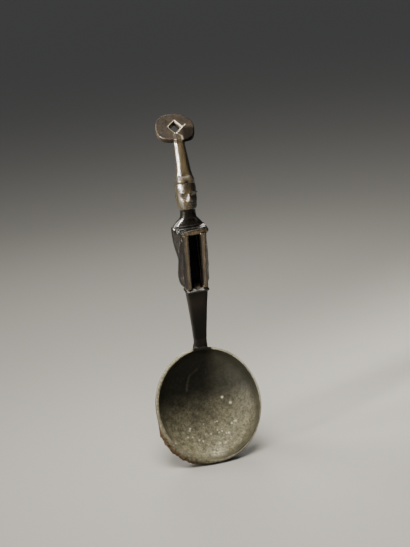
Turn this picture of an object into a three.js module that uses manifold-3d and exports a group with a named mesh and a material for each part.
// A carved hardwood ladle whose handle is a seated figure, in millimetres, +Z up along the handle.
// The figure and the open side of the bowl face -Y. The origin is the centre of the hanging hole.
// The real one is cut from a single block. Here it is divided at the carving's own creases, and the
// pieces meet face to face on level planes (Z) and upright planes (X or Y), with nothing added between.
import * as THREE from 'three';
import { mergeVertices } from 'three/addons/utils/BufferGeometryUtils.js';
import Module from 'manifold-3d';

const wasm = await Module();
wasm.setup();

// Bowl: an oval shell, steep at the rim and broad below, leaning back from the handle.
// The hollow is cut a little off the middle, so the rim is thicker on one side.
const bowlWidth = 91.4;
const bowlLength = 98;
const bowlDepth = 32;
const bowlWall = 2.2;
const bowlFloor = 4;
const bowlTilt = 22;
const bowlShift = -3;
const rimRound = 1;
const outerPower = 2.5;
const innerPower = 3;
const hollowShift = 0.5;

// Stem: flat in front, narrow where it leaves the bowl's rim, wide under the figure
const rootHeight = 7;
const rootFlare = 3.2;
const rootBack = 0.6;
const stemLength = 43;
const stemFootWidth = 11;
const stemFootDepth = 7.6;
const stemHeadWidth = 18.4;
const stemHeadDepth = 9;
const stemLean = 6.2;

// Plinth the figure sits on
const plinthWidth = 19.8;
const plinthDepth = 15.4;
const plinthHeight = 4;
const plinthFront = 9.8;
const plinthRound = 0.8;

// Legs: the shins lean forward to the knees in front, the thighs rise to them from the haunches
const legHeight = 46.6;
const footSpread = 6.8;
const kneeSpread = 7.4;
const shinFront = 10.2;
const kneeFront = 17.2;
const shinWidth = 5.2;
const shinDepth = 6.4;
const kneeWidth = 6;
const kneeDepth = 8.4;
const ankleWidth = 4.6;
const footWidth = 5.4;
const footHeight = 3.6;
const footLength = 8.4;
const thighWidth = 7.2;
const thighDepth = 9;
const webWidth = 5;
const hipHeight = 11;

// Torso: a tapering trunk with sloping shoulders. Its front is the plane that legs and arms meet.
const torsoFront = -3;
const hipWidth = 25.6;
const waistWidth = 23;
const chestWidth = 26.4;
const shoulderWidth = 29;
const shoulderShift = -0.5;
const torsoDepth = 10.4;
const frontOverlap = 1.8;
const shoulderRise = 51.6;
const shoulderSlope = 8;
const clothWidth = 6.4;
const clothHeight = 13;
const clothReach = 5.4;

// Arms: forearms level across the knees, one in front of the other
const armHeight = 5.8;
const frontArmDepth = 5;
const backArmDepth = 8.2;
const armReach = 15;
const handReach = 10.6;
const elbowWidth = 6.6;
const elbowTuck = 1.2;
const elbowRound = 3.4;

// Neck and head
const neckWidth = 13.2;
const neckDepth = 12;
const neckHeight = 6.7;
const headMiddle = -0.6;
const headWidth = 17.2;
const headDepth = 17.6;
const headHeight = 21.9;
const headTurn = 5;
const jawWidth = 15.2;
const noseLength = 6.8;
const noseWidth = 4.4;
const noseRise = 1.9;
const eyeSpread = 3.9;
const eyeWidth = 4.6;
const eyeHeight = 2.2;
const mouthWidth = 6;
const earHeight = 5.8;

// Headdress: a narrow brow band and a faceted shaft that leans back to the finial
const bandHeight = 6.4;
const bandWidth = 15.4;
const bandDepth = 15.4;
const bandNotch = 1.8;
const shaftHeight = 26.2;
const shaftFootWidth = 13;
const shaftFootDepth = 11.6;
const shaftTopWidth = 9.2;
const shaftTopDepth = 8.2;
const shaftLean = 5.8;
const chamfer = 0.46;
const tongueGap = 1.1;
const tongueWidth = 4.4;
const tongueLift = 1.4;

// Finial: a plate tilted back and a little askew, round above and squarer below, with a lozenge hanging
// hole just below its middle. The hole is wider at the face, where its edge is cut back.
const finialWidth = 32;
const finialLength = 30;
const finialThickness = 5;
const finialTilt = 53;
const finialTurn = 10;
const finialBack = 7.6;
const finialRise = 11.6;
const holeWidth = 9.6;
const holeLength = 12.2;
const holeCutBack = 1.2;
const outlineTopPower = 2.1;
const outlineFootPower = 3.2;
const outlineRise = 0.5;

// How finely round forms are divided
const bowlSides = 44;
const bowlRings = 9;
const bodySides = 20;
const limbSides = 12;
const outlineSides = 36;

// Heights of the creases, measured up the handle from the top of the bowl's rim
const stemFoot = rootHeight;
const plinthFoot = stemFoot + stemLength;
const seat = plinthFoot + plinthHeight;
const kneeTop = seat + legHeight;
const armTop = kneeTop + armHeight;
const shoulderTop = seat + shoulderRise;
const neckFoot = shoulderTop + shoulderSlope;
const chin = neckFoot + neckHeight;
const brow = chin + headHeight;
const bandTop = brow + bandHeight;
const shaftTop = bandTop + shaftHeight;
const armSplit = torsoFront - backArmDepth;
const shoulderEdge = armReach - 5.4;
const farAway = 400;

const degrees = THREE.MathUtils.degToRad;

// Turns a closed geometry into a solid that can be cut and joined
function solidOf(geometry) {
  const bare = geometry.clone();
  bare.deleteAttribute('normal');
  bare.deleteAttribute('uv');
  const merged = mergeVertices(bare, 1e-4);
  return new wasm.Manifold(new wasm.Mesh({
    numProp: 3,
    vertProperties: new Float32Array(merged.attributes.position.array),
    triVerts: new Uint32Array(merged.index.array),
  }));
}

// The other way: a solid's surface as a geometry for a mesh
function geometryOf(solid) {
  const surface = solid.getMesh();
  const geometry = new THREE.BufferGeometry();
  geometry.setAttribute('position', new THREE.BufferAttribute(new Float32Array(surface.vertProperties), 3));
  geometry.setIndex(new THREE.BufferAttribute(new Uint32Array(surface.triVerts), 1));
  geometry.computeVertexNormals();
  return geometry;
}

// One point of a squared ellipse: power 2 is an ellipse, higher is squarer
function squircle(angle, halfA, halfB, power) {
  const c = Math.cos(angle);
  const s = Math.sin(angle);
  const a = halfA * Math.sign(c) * Math.abs(c) ** (2 / power);
  const b = halfB * Math.sign(s) * Math.abs(s) ** (2 / power);
  return [a, b];
}

// Skins rings of equal point counts, first to last, and closes both ends with a fan
function skin(rings) {
  const sides = rings[0].length;
  const points = rings.flat();
  const index = [];
  for (let ring = 0; ring < rings.length - 1; ring += 1) {
    for (let side = 0; side < sides; side += 1) {
      const next = (side + 1) % sides;
      const a = ring * sides + side;
      const b = ring * sides + next;
      index.push(a, b, b + sides, a, b + sides, a + sides);
    }
  }
  const middle = (ring) => ring.reduce((sum, p) => sum.add(p), new THREE.Vector3()).divideScalar(sides);
  const firstHub = points.length;
  points.push(middle(rings[0]), middle(rings[rings.length - 1]));
  const lastStart = (rings.length - 1) * sides;
  for (let side = 0; side < sides; side += 1) {
    const next = (side + 1) % sides;
    index.push(firstHub, next, side);
    index.push(firstHub + 1, lastStart + side, lastStart + next);
  }
  const geometry = new THREE.BufferGeometry().setFromPoints(points);
  geometry.setIndex(index);
  return geometry;
}

// Sweeps a squared ellipse through stations {at, half, power}, smoothly between them.
// across is the direction of the section's first half size. Level sections face up, others face the path.
function sweep(stations, { sides = limbSides, steps = 4, across = new THREE.Vector3(1, 0, 0), level = false }) {
  const path = new THREE.CatmullRomCurve3(stations.map((s) => s.at));
  const sizes = new THREE.CatmullRomCurve3(
    stations.map((s) => new THREE.Vector3(s.half[0], s.half[1], s.power ?? 2)), false, 'catmullrom', 0.5);
  const rings = [];
  const last = steps * (stations.length - 1);
  for (let step = 0; step <= last; step += 1) {
    const t = step / last;
    const centre = path.getPoint(t);
    const size = sizes.getPoint(t);
    const along = level ? new THREE.Vector3(0, 0, 1) : path.getTangent(t);
    const second = along.clone().cross(across).normalize();
    const first = second.clone().cross(along).normalize();
    const ring = [];
    for (let side = 0; side < sides; side += 1) {
      const [a, b] = squircle(2 * Math.PI * (side + 0.5) / sides, size.x, size.y, size.z);
      ring.push(centre.clone().addScaledVector(first, a).addScaledVector(second, b));
    }
    rings.push(ring);
  }
  return solidOf(skin(rings));
}

// A station of a level section at height z
const level = (z, y, width, depth, power = 2.6, x = 0) => (
  { at: new THREE.Vector3(x, y, z), half: [width / 2, depth / 2], power });

// A station of a limb
const joint = (x, y, z, width, depth, power = 2.3) => (
  { at: new THREE.Vector3(x, y, z), half: [width / 2, depth / 2], power });

// A rounded lump, for eyes, lips and ears
function lump(x, y, z, width, depth, height) {
  const ball = new THREE.SphereGeometry(0.5, 12, 8);
  ball.scale(width, depth, height);
  ball.translate(x, y, z);
  return solidOf(ball);
}

// A block between two corners, used to cut at a plane
function block(x0, y0, z0, x1, y1, z1) {
  const box = new THREE.BoxGeometry(x1 - x0, y1 - y0, z1 - z0);
  box.translate((x0 + x1) / 2, (y0 + y1) / 2, (z0 + z1) / 2);
  return solidOf(box);
}

const between = (solid, z0, z1) => solid.intersect(block(-farAway, -farAway, z0, farAway, farAway, z1));
const inFrontOf = (solid, y) => solid.intersect(block(-farAway, -farAway, -farAway, farAway, y, farAway));
const behind = (solid, y) => solid.intersect(block(-farAway, y, -farAway, farAway, farAway, farAway));

// Bowl frame: local Z is the way the bowl opens, local Y runs up to the handle
const bowlTurn = new THREE.Matrix4().makeRotationX(degrees(90 - bowlTilt));
const bowlCentre = new THREE.Vector3(bowlShift, -bowlLength / 2 * Math.sin(degrees(bowlTilt)),
  -bowlLength / 2 * Math.cos(degrees(bowlTilt)));

// A ring of the bowl's wall: radius as a share of the rim's, height above the rim's plane
function bowlRing(radius, height, shift) {
  const ring = [];
  for (let side = 0; side < bowlSides; side += 1) {
    const angle = 2 * Math.PI * side / bowlSides;
    const point = new THREE.Vector3(shift + radius * bowlWidth / 2 * Math.cos(angle),
      radius * bowlLength / 2 * Math.sin(angle), height);
    ring.push(point.applyMatrix4(bowlTurn).add(bowlCentre));
  }
  return ring;
}

// Rings down a wall from near the rim to near the bottom, in even steps along its curve
function wallRings(rim, depth, power, shift) {
  const rings = [];
  for (let step = 1; step <= bowlRings; step += 1) {
    const share = Math.sin(Math.PI / 2 * (step - 0.1) / bowlRings) ** 1.15;
    const radius = rim * Math.sqrt(1 - share ** power);
    rings.push(bowlRing(radius, -share * depth, shift * radius));
  }
  return rings;
}

const innerRim = 1 - 2 * bowlWall / bowlWidth;
const innerRings = () => wallRings(innerRim, bowlDepth - bowlFloor, innerPower, hollowShift);

// Outer wall, rounded lip and inner wall in one skin
function bowlShell() {
  const lip = [];
  for (let step = 0; step <= 4; step += 1) {
    const turn = Math.PI * step / 4;
    const inward = (1 - Math.cos(turn)) / 2;
    const radius = 1 - (1 - innerRim) * inward;
    lip.push(bowlRing(radius, rimRound * (Math.sin(turn) - 1), hollowShift * inward));
  }
  const outer = wallRings(1, bowlDepth, outerPower, 0).reverse();
  return solidOf(skin([...outer, ...lip, ...innerRings()]));
}

// Everything inside the bowl's inner wall and above it
function bowlHollow() {
  const above = [bowlRing(innerRim, 0, hollowShift), bowlRing(innerRim, bowlDepth, hollowShift)];
  return solidOf(skin([...innerRings().reverse(), ...above]));
}

function bowl() {
  const foot = stemFootDepth / 2;
  const root = sweep([
    level(-3 * rootFlare, foot + 1.3 * rootFlare, stemFootWidth + 1.6 * rootFlare, stemFootDepth),
    level(-1.2 * rootFlare, foot + 0.5 * rootFlare, stemFootWidth + 1.9 * rootFlare, stemFootDepth + 0.6 * rootFlare),
    level(rootHeight / 3, foot - rootBack / 2, stemFootWidth + 0.4 * rootFlare, stemFootDepth + 0.2 * rootFlare, 3),
    level(rootHeight, foot - rootBack, stemFootWidth, stemFootDepth, 4),
  ], { sides: bodySides, steps: 4, level: true });
  return between(bowlShell().add(root.subtract(bowlHollow())), -farAway, stemFoot);
}

function stem() {
  const front = (share) => -stemLean * share - rootBack;
  const at = (share, power) => {
    const width = THREE.MathUtils.lerp(stemFootWidth, stemHeadWidth, share ** 1.25);
    const depth = THREE.MathUtils.lerp(stemFootDepth, stemHeadDepth, share);
    return level(stemFoot + share * stemLength, front(share) + depth / 2, width, depth, power);
  };
  return sweep([at(0, 4), at(0.35, 4.4), at(0.7, 4.8), at(1, 5)], { sides: 28, steps: 4, level: true });
}

function plinth() {
  const middle = plinthDepth / 2 - plinthFront;
  const inset = 2 * plinthRound;
  return sweep([
    level(plinthFoot, middle, plinthWidth - inset, plinthDepth - inset, 6),
    level(plinthFoot + plinthHeight * 0.3, middle, plinthWidth, plinthDepth, 8),
    level(plinthFoot + plinthHeight * 0.7, middle, plinthWidth, plinthDepth, 8),
    level(seat, middle, plinthWidth - inset, plinthDepth - inset, 7),
  ], { sides: 28, steps: 3, level: true });
}

// One thigh from the haunch behind to the knee in front. The leg takes its front part, the torso the rest.
function thigh(side) {
  const x = side * kneeSpread;
  const hipBack = torsoFront + torsoDepth * 0.6;
  return sweep([
    joint(x + side * 1.6, hipBack, seat + hipHeight * 0.55, thighWidth, thighDepth * 0.8),
    joint(x + side * 1.8, hipBack - 1.6, seat + hipHeight, thighWidth + 0.8, thighDepth + 1),
    joint(x + side * 1.5, torsoFront - 1, seat + legHeight * 0.56, thighWidth, thighDepth),
    joint(x + side * 0.4, kneeDepth * 0.7 - kneeFront, kneeTop - kneeDepth * 0.45, kneeWidth, kneeDepth),
  ], { steps: 4 });
}

// A leg is the shin, the foot, the thigh's front part and the web of wood left between shin and thigh
function leg(side) {
  const shinAt = (share, width, depth, power = 2.8) => {
    const front = THREE.MathUtils.lerp(shinFront, kneeFront, share ** 1.1);
    const x = side * THREE.MathUtils.lerp(footSpread, kneeSpread, share);
    return level(seat + share * legHeight, depth / 2 - front, width, depth, power, x);
  };
  const shin = sweep([
    shinAt(0.03, ankleWidth, shinDepth),
    shinAt(0.17, ankleWidth, shinDepth - 0.8),
    shinAt(0.5, shinWidth, shinDepth),
    shinAt(0.84, shinWidth + 0.2, shinDepth + 0.4),
    shinAt(1, kneeWidth, kneeDepth, 3),
  ], { sides: limbSides, steps: 4, level: true });
  const toe = -plinthFront + 0.5;
  const foot = sweep([
    level(seat, toe + footLength / 2, footWidth, footLength, 3.4, side * footSpread),
    level(seat + footHeight * 0.5, toe + footLength / 2 + 0.2, footWidth, footLength - 0.4, 3, side * footSpread),
    level(seat + footHeight, toe + footLength / 2 + 1, footWidth * 0.86, footLength - 2.4, 2.6, side * footSpread),
  ], { sides: limbSides, steps: 2, level: true });
  const webAt = (share, front) => level(seat + share * legHeight, (torsoFront + 1 - front) / 2, webWidth,
    front + torsoFront + 1, 4, side * kneeSpread);
  const web = sweep([webAt(0, shinFront - 3), webAt(0.5, shinFront), webAt(1.02, kneeFront - 4)],
    { sides: limbSides, steps: 3, level: true });
  const whole = shin.add(foot).add(thigh(side)).add(web);
  return between(inFrontOf(whole, torsoFront), seat, kneeTop);
}

function torso() {
  const depth = torsoDepth + frontOverlap;
  const middle = torsoFront + (torsoDepth - frontOverlap) / 2;
  const back = 0.6;
  const trunk = sweep([
    level(seat, middle - 1, hipWidth - 6, depth - 2, 2.8),
    level(seat + 4, middle, hipWidth - 0.4, depth, 2.8),
    level(seat + hipHeight, middle, hipWidth - 0.4, depth + 0.6, 2.8),
    level(seat + hipHeight * 1.9, middle, waistWidth, depth, 2.6),
    level(seat + shoulderRise * 0.6, middle + back, chestWidth, depth, 2.6),
    level(seat + shoulderRise * 0.76, middle + back, shoulderWidth - 0.8, depth, 2.6, shoulderShift),
    level(shoulderTop - 1.4, middle, shoulderWidth, depth, 2.8, shoulderShift),
    level(shoulderTop + 1, middle, shoulderWidth - 3.6, depth, 2.6, shoulderShift),
    level(shoulderTop + shoulderSlope * 0.56, middle - 0.6, neckWidth + 6.6, neckDepth, 2.4, shoulderShift / 2),
    level(neckFoot, headMiddle, neckWidth, neckDepth, 2.4),
  ], { sides: bodySides, steps: 3, level: true });
  const clothAt = (share) => {
    const reach = clothReach * (1 - share) ** 0.8;
    return level(seat + share * clothHeight, torsoFront + 1 - (reach + 1) / 2, clothWidth, reach + 1, 5);
  };
  const cloth = sweep([clothAt(0), clothAt(0.5), clothAt(0.95)], { sides: limbSides, steps: 2, level: true });
  const chest = inFrontOf(trunk, torsoFront);
  const rest = behind(trunk.add(thigh(-1)).add(thigh(1)), torsoFront).add(cloth);
  return between(rest.add(between(chest, armTop, neckFoot)), seat, neckFoot);
}

// The elbow, where the upper arm comes forward from the shoulder, from behind the torso's front to y
function elbow(side, y) {
  const back = torsoFront + 3;
  const x = side * (armReach - elbowTuck - elbowWidth / 2);
  const at = (z, less) => level(z, (back + y + less) / 2, elbowWidth - less, back - y - less, 2.8, x);
  return sweep([at(kneeTop - 0.6, 1), at(kneeTop + armHeight * 0.4, 0), at(armTop - 0.2, elbowRound)],
    { sides: limbSides, steps: 4, level: true });
}

// The forearms: the one on -X lies behind, the other passes in front of it with its hand on the far knee
const acrossBody = { across: new THREE.Vector3(0, 1, 0), sides: limbSides, steps: 4 };

function backArm() {
  const y = torsoFront - backArmDepth / 2 + 0.6;
  const mid = kneeTop + armHeight / 2;
  const forearm = sweep([
    joint(elbowWidth / 2 - armReach, y + 0.4, mid - 0.2, backArmDepth - 1, armHeight + 0.8, 2.6),
    joint(-armReach * 0.4, y, mid, backArmDepth, armHeight + 0.6, 2.6),
    joint(armReach * 0.2, y, mid + 0.2, backArmDepth, armHeight + 0.4, 2.6),
    joint(armReach * 0.76, y, mid + 0.2, backArmDepth, armHeight, 2.6),
  ], acrossBody);
  const acrossKnees = block(-farAway, armSplit, kneeTop, shoulderEdge, torsoFront, armTop);
  const elbowSpace = block(-farAway, -farAway, kneeTop, -handReach, torsoFront, armTop);
  return forearm.add(elbow(-1, armSplit + 0.6)).intersect(acrossKnees.add(elbowSpace));
}

function frontArm() {
  const y = armSplit - frontArmDepth / 2 + 0.4;
  const mid = kneeTop + armHeight / 2;
  const forearm = sweep([
    joint(armReach - elbowWidth / 2, y + 1.2, mid - 0.2, frontArmDepth + 0.6, armHeight + 0.6, 2.6),
    joint(armReach * 0.4, y, mid - 0.4, frontArmDepth, armHeight - 0.2, 2.8),
    joint(-armReach * 0.2, y, mid - 0.8, frontArmDepth, armHeight - 0.8, 2.8),
    joint(-handReach + 1, y + 0.3, mid - 1.3, frontArmDepth - 0.6, armHeight - 2, 2.6),
  ], acrossBody);
  const acrossKnees = block(-handReach, -farAway, kneeTop, farAway, armSplit, armTop);
  const shoulderSpace = block(shoulderEdge, -farAway, kneeTop, farAway, torsoFront, armTop);
  return forearm.add(elbow(1, y)).intersect(acrossKnees.add(shoulderSpace));
}

function head() {
  const face = -headDepth / 2;
  const skull = sweep([
    level(chin - neckHeight, 0, neckWidth, neckDepth, 2.4),
    level(chin - 0.6, 0, neckWidth - 0.4, neckDepth, 2.6),
    level(chin + 0.4, -0.6, jawWidth - 0.8, headDepth - 2, 3.4),
    level(chin + headHeight * 0.16, -0.2, jawWidth + 0.6, headDepth - 0.4, 3.2),
    level(chin + headHeight * 0.45, 0, headWidth, headDepth, 2.8),
    level(chin + headHeight * 0.8, 0, headWidth, headDepth, 2.6),
    level(brow, 0, headWidth - 2, headDepth - 2, 2.6),
  ], { sides: bodySides, steps: 3, level: true });
  const eyeLine = chin + headHeight * 0.54;
  const noseFoot = chin + headHeight * 0.36;
  const nose = sweep([
    joint(0, face + 1.2, noseFoot + noseLength, noseWidth * 0.6, 2),
    joint(0, face + 0.2, noseFoot + noseLength * 0.5, noseWidth * 0.66, 2.2),
    joint(0, face - noseRise * 0.4, noseFoot + 1, noseWidth, 3),
    joint(0, face + 0.6, noseFoot - 0.4, noseWidth * 0.8, 2.4),
  ], { sides: 10, steps: 2 });
  const mouthLine = chin + headHeight * 0.2;
  let solid = skull;
  for (const side of [-1, 1]) {
    const x = side * eyeSpread;
    solid = solid.subtract(lump(x, face, eyeLine, eyeWidth + 1.4, 3.4, eyeHeight + 2.4));
    solid = solid.add(lump(x, face + 1.7, eyeLine, eyeWidth, 3, eyeHeight));
    solid = solid.add(lump(side * headWidth / 2, 1, eyeLine - 1.4, 1.6, 4.4, earHeight));
  }
  solid = solid.add(nose);
  solid = solid.add(lump(0, face + 1, mouthLine + 0.75, mouthWidth, 3, 1.7));
  solid = solid.add(lump(0, face + 1, mouthLine - 0.75, mouthWidth * 0.8, 3, 1.7));
  return between(solid.rotate([0, 0, headTurn]).translate([0, headMiddle, 0]), neckFoot, brow);
}

// A flat-sided section with cut corners, as a knife leaves it
function facetRing(z, y, width, depth, x = 0) {
  const halfX = width / 2;
  const halfY = depth / 2;
  const cutX = halfX * (1 - chamfer);
  const cutY = halfY * (1 - chamfer);
  const corners = [[halfX, cutY], [cutX, halfY], [-cutX, halfY], [-halfX, cutY],
    [-halfX, -cutY], [-cutX, -halfY], [cutX, -halfY], [halfX, -cutY]];
  return corners.map(([cx, cy]) => new THREE.Vector3(x + cx, y + cy, z));
}

// Where the shaft's middle is, and how wide it is, at a share of its height
const shaftY = (share) => headMiddle + shaftLean * share ** 1.4;
const shaftWidthAt = (share) => THREE.MathUtils.lerp(shaftFootWidth, shaftTopWidth, share ** 0.8);
const shaftDepthAt = (share) => THREE.MathUtils.lerp(shaftFootDepth, shaftTopDepth, share);

function headdress() {
  const band = sweep([
    level(brow, headMiddle, bandWidth - 0.2, bandDepth + 0.4, 2.8),
    level(brow + bandHeight * 0.35, headMiddle, bandWidth + 0.6, bandDepth + 1, 2.8),
    level(brow + bandHeight * 0.8, headMiddle, bandWidth - 1.6, bandDepth - 1.4, 3.2),
    level(bandTop, headMiddle, shaftFootWidth + 0.6, shaftFootDepth + 0.6, 4),
  ], { sides: 28, steps: 3, level: true });
  const front = headMiddle - bandDepth / 2;
  const wedge = new THREE.CylinderGeometry(bandNotch, bandNotch, bandDepth / 3, 3);
  const notch = solidOf(wedge).translate([0, front, brow]);
  const rings = [];
  const steps = 6;
  for (let step = 0; step <= steps; step += 1) {
    const share = step / steps;
    rings.push(facetRing(bandTop - 0.6 + (shaftHeight + 0.6) * share, shaftY(share),
      shaftWidthAt(share), shaftDepthAt(share)));
  }
  return between(band.subtract(notch).add(solidOf(skin(rings))), brow, shaftTop);
}

// Finial frame: local Z is the plate's face normal, local Y runs up its slope
const plateTurn = new THREE.Matrix4().makeRotationX(degrees(90 - finialTilt));
const plateNormal = new THREE.Vector3(0, 0, 1).applyMatrix4(plateTurn);
const plateUp = new THREE.Vector3(0, 1, 0).applyMatrix4(plateTurn);
const plateCentre = new THREE.Vector3(0, shaftY(1) + finialBack, shaftTop + finialRise);
const holeCentre = plateCentre.clone().addScaledVector(plateNormal, -finialThickness / 2);

// The lozenge hole's cutter: straight through, and opening out near the face
function holeCutter() {
  const lozenge = (depth, more) => {
    const x = holeWidth / 2 + more;
    const y = holeLength / 2 + more * holeLength / holeWidth;
    return [[x, 0], [0, y], [-x, 0], [0, -y]].map(([px, py]) => new THREE.Vector3(px, py, depth));
  };
  const rings = [
    lozenge(-finialThickness - 2, 0),
    lozenge(-holeCutBack, 0),
    lozenge(0, holeCutBack),
    lozenge(finialThickness, holeCutBack + finialThickness),
  ];
  return skin(rings);
}

// Moves a geometry from the finial's own frame to its place on the shaft
function onFinial(geometry) {
  geometry.rotateZ(-degrees(finialTurn));
  geometry.applyMatrix4(plateTurn);
  geometry.translate(plateCentre.x, plateCentre.y, plateCentre.z);
  return solidOf(geometry);
}

function finial() {
  const outline = new THREE.Shape();
  for (let side = 0; side < outlineSides; side += 1) {
    const angle = 2 * Math.PI * side / outlineSides;
    const power = Math.sin(angle) > 0 ? outlineTopPower : outlineFootPower;
    const [x, y] = squircle(angle, finialWidth / 2, finialLength / 2, power);
    if (side === 0) {
      outline.moveTo(x, y + outlineRise);
    } else {
      outline.lineTo(x, y + outlineRise);
    }
  }
  outline.closePath();
  const bevel = 0.7;
  const plate = new THREE.ExtrudeGeometry(outline, {
    depth: finialThickness - 2 * bevel, bevelThickness: bevel, bevelSize: bevel, bevelOffset: -bevel,
    bevelSegments: 1, steps: 1 });
  plate.translate(0, 0, -finialThickness + bevel);

  // The shaft's front runs on over the plate as a tongue that ends under the hole's lower corner
  const holeFoot = (holeLength / 2) * (1 + 2 * holeCutBack / holeWidth);
  const tip = plateCentre.clone().addScaledVector(plateUp, -holeFoot - tongueGap);
  tip.x = -holeFoot * Math.sin(degrees(finialTurn));
  const half = (from, to) => THREE.MathUtils.lerp(from, to, 0.5);
  const rings = [
    facetRing(shaftTop, shaftY(1), shaftTopWidth, shaftTopDepth),
    facetRing(half(shaftTop, tip.z), half(shaftY(1), tip.y) - tongueLift, shaftTopWidth * 0.9,
      shaftTopDepth * 0.8, tip.x * 0.3),
    facetRing(tip.z + 0.6, tip.y + 0.4, tongueWidth, shaftTopDepth * 0.24, tip.x),
  ];
  const body = onFinial(plate).add(solidOf(skin(rings))).subtract(onFinial(holeCutter()));
  return between(body, shaftTop, farAway);
}

// Finishes: dark smoke-blackened wood, browner where hands have worn it, dull and dusty in the bowl
const finishes = {
  bowl: { color: 0x3b3328, roughness: 0.7 },
  stem: { color: 0x1d1814, roughness: 0.4 },
  figure: { color: 0x33261c, roughness: 0.38 },
  headdress: { color: 0x3a2a1e, roughness: 0.4 },
  finial: { color: 0x241d18, roughness: 0.42 },
};

const ladle = new THREE.Group();
const carving = new THREE.Group();
carving.position.copy(holeCentre).negate();
ladle.add(carving);

function piece(name, solid, finish) {
  const material = new THREE.MeshStandardMaterial({ metalness: 0, ...finishes[finish] });
  const mesh = new THREE.Mesh(geometryOf(solid), material);
  mesh.name = name;
  carving.add(mesh);
}

piece('bowl', bowl(), 'bowl');
piece('stem', stem(), 'stem');
piece('plinth', plinth(), 'figure');
piece('left_leg', leg(-1), 'figure');
piece('right_leg', leg(1), 'figure');
piece('torso', torso(), 'figure');
piece('left_arm', backArm(), 'figure');
piece('right_arm', frontArm(), 'figure');
piece('head', head(), 'figure');
piece('headdress', headdress(), 'headdress');
piece('finial', finial(), 'finial');

export default ladle;
